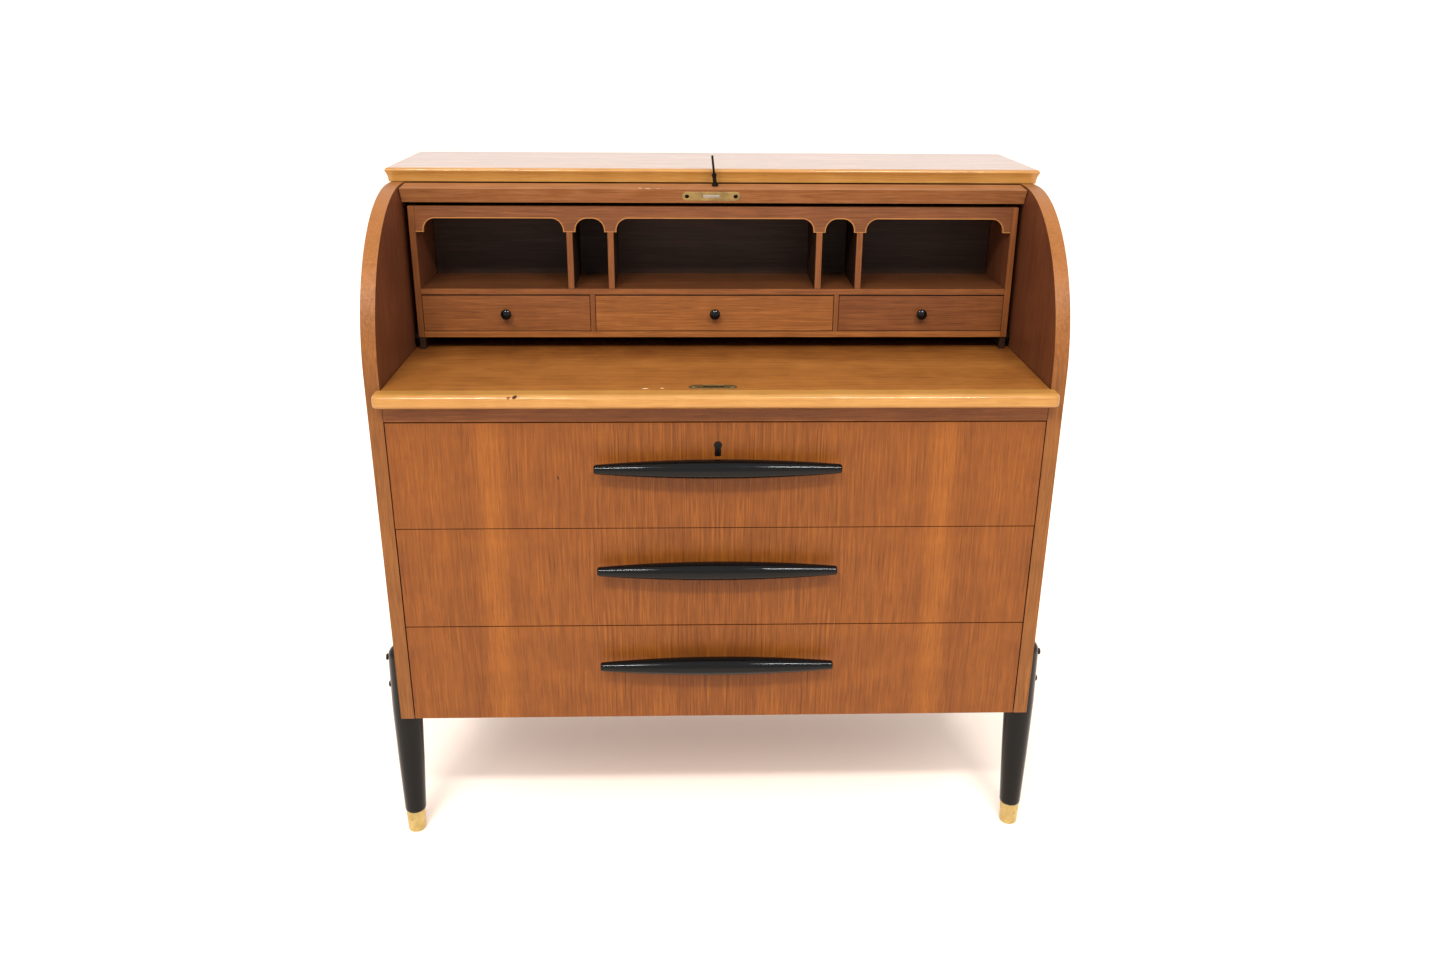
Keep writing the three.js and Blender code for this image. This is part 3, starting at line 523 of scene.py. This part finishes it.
def soften(piece, width):
    """Merges a piece's facets, rounds its arrises and shades its curves smoothly."""
    mesh = piece.data
    for spare in ("custom_normal", "sharp_edge", "sharp_face"):
        if spare in mesh.attributes:
            mesh.attributes.remove(mesh.attributes[spare])
    mesh.polygons.foreach_set("use_smooth", [True] * len(mesh.polygons))
    weld = piece.modifiers.new("weld", "WELD")
    weld.merge_threshold = WELD_WITHIN
    flatten = piece.modifiers.new("flatten", "DECIMATE")
    flatten.decimate_type = "DISSOLVE"
    flatten.angle_limit = math.radians(FLAT_ANGLE)
    bevel = piece.modifiers.new("bevel", "BEVEL")
    bevel.width = width
    bevel.segments = ARRIS_SEGMENTS
    bevel.limit_method = "ANGLE"
    bevel.angle_limit = math.radians(ARRIS_ANGLE)
    normals = piece.modifiers.new("normals", "WEIGHTED_NORMAL")
    normals.mode = "FACE_AREA"
    normals.weight = 60


def face_with(piece, key, chosen):
    """Gives the chosen faces of a piece another material, as their world normal and place decide."""
    piece.data.materials.append(material(key))
    last = len(piece.data.materials) - 1
    place = piece.matrix_world
    turn = place.to_3x3()
    for face in piece.data.polygons:
        if chosen(turn @ face.normal, place @ face.center):
            face.material_index = last


SMALL_FRONT = 11 * MM  # how thick a small drawer's front is
SMALL_FRONT_VENEER = 2 * MM  # how far back its teak goes
SQUARE_ON = 0.9  # how squarely a face looks along an axis to count as facing it


def dress_cad():
    for key, names in FINISH.items():
        for name in names:
            piece = nodes[name]
            piece.data.materials.clear()
            piece.data.materials.append(material(key))
            soften(piece, ROUNDING["fine" if key in SOLID + JOINERY else "broad"])
    # The inner faces of the side panels and unit sides take a darker teak: painted shade.
    for side, inward in (("left", 1), ("right", -1)):
        for name in (f"side_panel_{side}", f"unit_side_{side}"):
            face_with(nodes[name], "inside", lambda normal, spot: inward * normal.x > SQUARE_ON)
    # The pigeonhole dividers' side faces: near-black teak as painted shade.
    for i in (1, 2, 3, 4):
        face_with(nodes[f"pigeonhole_divider_{i}"], "dark", lambda normal, spot: abs(normal.x) > SQUARE_ON)
    # The unit shelf's top, the pigeonholes' floor, takes a darker teak: painted shade.
    face_with(nodes["unit_shelf"], "shelf_top", lambda normal, spot: normal.z > SQUARE_ON)
    # The unit shelf's underside, the unit floor's top and the drawer dividers' sides line the small drawers'
    # gaps: near-black teak as painted shade.
    face_with(nodes["unit_shelf"], "dark", lambda normal, spot: normal.z < -SQUARE_ON)
    face_with(nodes["unit_floor"], "dark", lambda normal, spot: normal.z > SQUARE_ON)
    for side in BOTH:
        face_with(nodes[f"drawer_divider_{side}"], "dark", lambda normal, spot: abs(normal.x) > SQUARE_ON)
    face_with(nodes["top_board"], "top", lambda normal, spot: normal.z > SQUARE_ON)
    for third in THIRDS:
        piece = nodes[f"small_drawer_{third}"]
        front = min(corner.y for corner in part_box(piece.name))
        reach = front + SMALL_FRONT
        face_with(piece, "pine", lambda normal, spot: spot.y > front + SMALL_FRONT_VENEER)
        # The edges of each small drawer's front, inside the gaps: near-black teak as painted shade.
        face_with(piece, "dark", lambda normal, spot: abs(normal.y) < 0.5 and front < spot.y < reach)


# ------------------------------------------------------------------ fittings

HEAD_SUNK = 0.4 * MM
HEAD_STEPS = 8
HEAD_EDGE = 0.12 * MM
HEAD_EDGE_ANGLE = 40  # degrees
SMALL_SIDES = 20  # sides of the smallest round fittings


def turned(name, profile, segments=40):
    """A piece turned about its own Z axis, from (radius, height) points that start and end on it."""
    shape = bmesh.new()
    rings = []
    for radius, height in profile:
        count = segments if radius > 0 else 1
        angles = [2 * math.pi * k / segments for k in range(count)]
        rings.append([shape.verts.new((radius * math.cos(a), radius * math.sin(a), height)) for a in angles])
    for low, high in zip(rings, rings[1:]):
        for k in range(segments):
            lower = [low[k % len(low)], low[(k + 1) % len(low)]]
            upper = [high[(k + 1) % len(high)], high[k % len(high)]]
            shape.faces.new(list(dict.fromkeys(lower + upper)))
    bmesh.ops.recalc_face_normals(shape, faces=shape.faces)
    mesh = bpy.data.meshes.new(name)
    shape.to_mesh(mesh)
    shape.free()
    mesh.polygons.foreach_set("use_smooth", [True] * len(mesh.polygons))
    piece = bpy.data.objects.new(name, mesh)
    bpy.context.scene.collection.objects.link(piece)
    return piece


def block(name, size):
    shape = bmesh.new()
    bmesh.ops.create_cube(shape, size=1.0, matrix=Matrix.Diagonal((*size, 1.0)))
    mesh = bpy.data.meshes.new(name)
    shape.to_mesh(mesh)
    shape.free()
    piece = bpy.data.objects.new(name, mesh)
    bpy.context.scene.collection.objects.link(piece)
    return piece


def carve(piece, cutter):
    """Cuts one piece by another for good and removes the cutter."""
    boolean = piece.modifiers.new("carve", "BOOLEAN")
    boolean.operation = "DIFFERENCE"
    boolean.object = cutter
    bpy.context.view_layer.update()
    result = bpy.data.meshes.new_from_object(piece.evaluated_get(bpy.context.evaluated_depsgraph_get()))
    piece.modifiers.remove(boolean)
    piece.data = result
    bpy.data.objects.remove(cutter)


def screw_head(name, screw):
    """A slotted, domed screw head, sunk a little below zero height."""
    radius, dome, slot = screw["radius"], screw["dome"], screw["slot"]
    profile = [(0.0, -HEAD_SUNK), (radius, -HEAD_SUNK)]
    for i in range(HEAD_STEPS + 1):
        a = math.pi / 2 * i / HEAD_STEPS
        profile.append((radius * math.cos(a) if i < HEAD_STEPS else 0.0, dome * math.sin(a)))
    head = turned(name, profile)
    cutter = block("cutter", (3 * radius, slot, 1.2 * dome))
    cutter.location.z = dome
    carve(head, cutter)
    edges = head.modifiers.new("bevel", "BEVEL")
    edges.width = HEAD_EDGE
    edges.limit_method = "ANGLE"
    edges.angle_limit = math.radians(HEAD_EDGE_ANGLE)
    return head


def fit(piece, place, axis, turn, body, key):
    """Puts a fitting at a place, with its Z along the axis, on a body, with its finish."""
    turned_to = Vector(axis).to_track_quat("Z", "Y").to_matrix().to_4x4()
    piece.matrix_world = Matrix.Translation(place) @ turned_to @ Matrix.Rotation(math.radians(turn), 4, "Z")
    piece.data.materials.clear()
    piece.data.materials.append(material(key))
    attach(piece, body)


def centre(node):
    low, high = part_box(node)
    return (low + high) / 2


LEG_SCREW = {"radius": 5.2 * MM, "dome": 2.2 * MM, "slot": 1.1 * MM}
LEG_SCREW_SPOTS = ((82.8 * MM, 35), (36.2 * MM, 105))  # height up the side panel, turn of the slot
LEG_SCREW_SUNK = 0.1 * MM
PLATE_SCREW = {"radius": 3.2 * MM, "dome": 0.7 * MM, "slot": 0.8 * MM}
LOCK_SCREW_SPOTS = ((-0.82, 25), (0.82, 85))  # share of the plate's half length, turn of the slot
STRIKE_SCREW_SPOTS = ((0.1, 0), (0.9, 50))  # share of the plate's length, turn of the slot
LID_BACK = (0.0, 0.869653, 0.493663)  # square to the lock's plate, into the lid
LOCK_PLATE_HALF = 1.0 * MM  # half its thickness
NAIL_PROFILE = [(0, -MM), (1.5 * MM, -MM), (1.4 * MM, 0.2 * MM), (0.8 * MM, 0.5 * MM), (0, 0.6 * MM)]
NAIL_UP = 0.62  # share of the ferrule's height
NAIL_SLANT = 0.35  # how far each nail is turned outwards from the front
NAIL_SUNK = 0.5 * MM


def add_leg_screws():
    """Two domed screws hold each leg to the side panel, one above the other."""
    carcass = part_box("side_panel_left")[0].z
    for end in ("front", "rear"):
        for side, sign in (("left", -1), ("right", 1)):
            low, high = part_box(f"leg_{end}_{side}")
            ferrule = centre(f"ferrule_{end}_{side}")
            outer = max(abs(low.x), abs(high.x))
            for i, (height, turn) in enumerate(LEG_SCREW_SPOTS):
                head = screw_head(f"leg_screw_{end}_{side}_{i + 1}", LEG_SCREW)
                spot = (sign * (outer - LEG_SCREW_SUNK), ferrule.y, carcass + height)
                fit(head, spot, (sign, 0, 0), turn, "root", "steel")


def add_ferrule_nails():
    """A small nail pins each ferrule to its leg."""
    for end in ("front", "rear"):
        for side, sign in (("left", -1), ("right", 1)):
            low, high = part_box(f"ferrule_{end}_{side}")
            middle = (low + high) / 2
            radius = (high.y - low.y) / 2
            height = low.z + NAIL_UP * (high.z - low.z)
            slant = Vector((NAIL_SLANT * sign, -1.0, 0.0)).normalized()
            nail = turned(f"ferrule_nail_{end}_{side}", NAIL_PROFILE, SMALL_SIDES)
            spot = Vector((middle.x, middle.y, height)) + slant * (radius - NAIL_SUNK)
            fit(nail, spot, slant, 0, "root", "old_brass")


def add_plate_screws():
    """Countersunk screws near the ends of the lock's forend plate and of the strike plate."""
    low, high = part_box("lock_plate")
    middle = (low + high) / 2
    out = -Vector(LID_BACK)
    for i, (reach, turn) in enumerate(LOCK_SCREW_SPOTS):
        head = screw_head(f"lock_plate_screw_{i + 1}", PLATE_SCREW)
        spot = middle + Vector((reach * (high.x - low.x) / 2, 0, 0)) + out * LOCK_PLATE_HALF
        fit(head, spot, out, turn, "lid", "iron")
    low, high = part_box("strike_plate")
    for i, (share, turn) in enumerate(STRIKE_SCREW_SPOTS):
        head = screw_head(f"strike_screw_{i + 1}", PLATE_SCREW)
        spot = (low.x + share * (high.x - low.x), (low.y + high.y) / 2, high.z)
        fit(head, spot, (0, 0, 1), turn, "writing_board", "old_brass")


# Small marks of use: body, place and size in millimetres, the way each faces, its turn and its look.
MARKS = {
    "lip_stain_1": ("writing_board", (-280.0, -245.9, 743.7), (6.0, 3.2), (0, -0.9, 0.43), 10, "stain"),
    "lip_stain_2": ("writing_board", (-271.5, -245.0, 745.1), (7.0, 4.4), (0, -0.7, 0.71), 35, "stain"),
    "drawer_dent": ("drawer_top", (-222.0, -220.75, 620.0), (2.2, 5.4), (0, -1, 0), 12, "stain"),
    "board_scrape_1": ("writing_board", (-99.0, -214.5, 747.5), (9.0, 1.6), (0, 0, 1), 3, "scrape"),
    "board_scrape_2": ("writing_board", (-76.0, -213.0, 747.5), (6.0, 1.5), (0, 0, 1), -4, "scrape"),
    "rail_scrape_1": ("lid", (-109.0, -11.0, 987.1), (7.0, 1.5), (0, -0.08, 1), 2, "scrape"),
    "rail_scrape_2": ("lid", (-98.0, -13.5, 986.9), (10.0, 1.8), (0, -0.08, 1), -3, "scrape"),
    "rail_scrape_3": ("lid", (-83.0, -14.0, 986.85), (5.0, 0.9), (0, -0.08, 1), 5, "scrape"),
}
MARK_HEIGHT = 0.12 * MM
MARK_PROFILE = [(0.5, -MARK_HEIGHT), (0.5, 0.0), (0.3, 0.7 * MARK_HEIGHT), (0.0, MARK_HEIGHT)]


def add_marks():
    """Each mark is a thin oval film on the surface."""
    for name, (body, place, size, facing, turn, key) in MARKS.items():
        mark = turned(name, MARK_PROFILE, SMALL_SIDES)
        mark.data.transform(Matrix.Diagonal((size[0] * MM, size[1] * MM, 1.0, 1.0)))
        spot = Vector(place) * MM
        fit(mark, spot, facing, turn, body, key)


KEYHOLE_SHADE_SHARE = (0.55, 0.75)  # shares of the insert's width and height
KEYHOLE_SHADE_IN = 2 * MM


def add_keyhole_shade():
    """A black block behind the keyhole: painted shade for the lock's inside."""
    low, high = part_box("keyhole_insert")
    middle = (low + high) / 2
    inside = block(
        "keyhole_painted_shade", (KEYHOLE_SHADE_SHARE[0] * (high.x - low.x), MM, KEYHOLE_SHADE_SHARE[1] * (high.z - low.z))
    )
    spot = (middle.x, low.y + KEYHOLE_SHADE_IN, middle.z)
    fit(inside, spot, (0, 0, 1), 0, "drawer_top", "plastic")


EDGING_WIDE = 1.3 * MM
EDGING_PROUD = 0.15 * MM
EDGING_DEEP = 6 * MM


def add_valance_edging():
    """A light strip of veneer lines the valance's arches and pendants."""
    piece = nodes["unit_valance"]
    low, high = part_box(piece.name)
    mesh, world = piece.data, piece.matrix_world
    spots = [world @ vertex.co for vertex in mesh.vertices]
    outward = {}
    spans = []
    for face in mesh.polygons:  # only those along the cut edge, which look down or sideways
        if abs(face.normal.y) > 0.3 or face.normal.z > 0.1:
            continue
        if min(face.center.x - low.x, high.x - face.center.x) < MM:
            continue
        on_front = [spots[i] for i in face.vertices if spots[i].y < low.y + 0.01 * MM]
        if len(on_front) != 2:
            continue
        keys = [(round(spot.x, 5), round(spot.z, 5)) for spot in on_front]
        spans.append(keys)
        for key in keys:
            outward.setdefault(key, []).append(face.normal.copy())
    shape = bmesh.new()
    rings = {}
    for (x, z), normals in outward.items():
        out = sum(normals, Vector((0, 0, 0))).normalized()
        level = Vector((x, low.y, z))
        corners = [
            level + out * EDGING_PROUD + Vector((0, -EDGING_PROUD, 0)),
            level - out * EDGING_WIDE + Vector((0, -EDGING_PROUD, 0)),
            level - out * EDGING_WIDE + Vector((0, EDGING_PROUD, 0)),
            level + out * EDGING_PROUD + Vector((0, EDGING_DEEP, 0)),
        ]
        rings[(x, z)] = [shape.verts.new(corner) for corner in corners]
    for start, end in spans:
        for k in range(4):
            after = (k + 1) % 4
            quad = [rings[start][k], rings[end][k], rings[end][after], rings[start][after]]
            shape.faces.new(quad)
    bmesh.ops.recalc_face_normals(shape, faces=shape.faces)
    ribbon = bpy.data.meshes.new("valance_edging")
    shape.to_mesh(ribbon)
    shape.free()
    strip = bpy.data.objects.new("valance_edging", ribbon)
    bpy.context.scene.collection.objects.link(strip)
    strip.data.materials.append(material("edging"))
    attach(strip, "root")


# ------------------------------------------------------------------ making it all

add_camera()
add_studio()
add_floor()
dress_cad()
add_leg_screws()
add_ferrule_nails()
add_plate_screws()
add_keyhole_shade()
add_valance_edging()
add_marks()
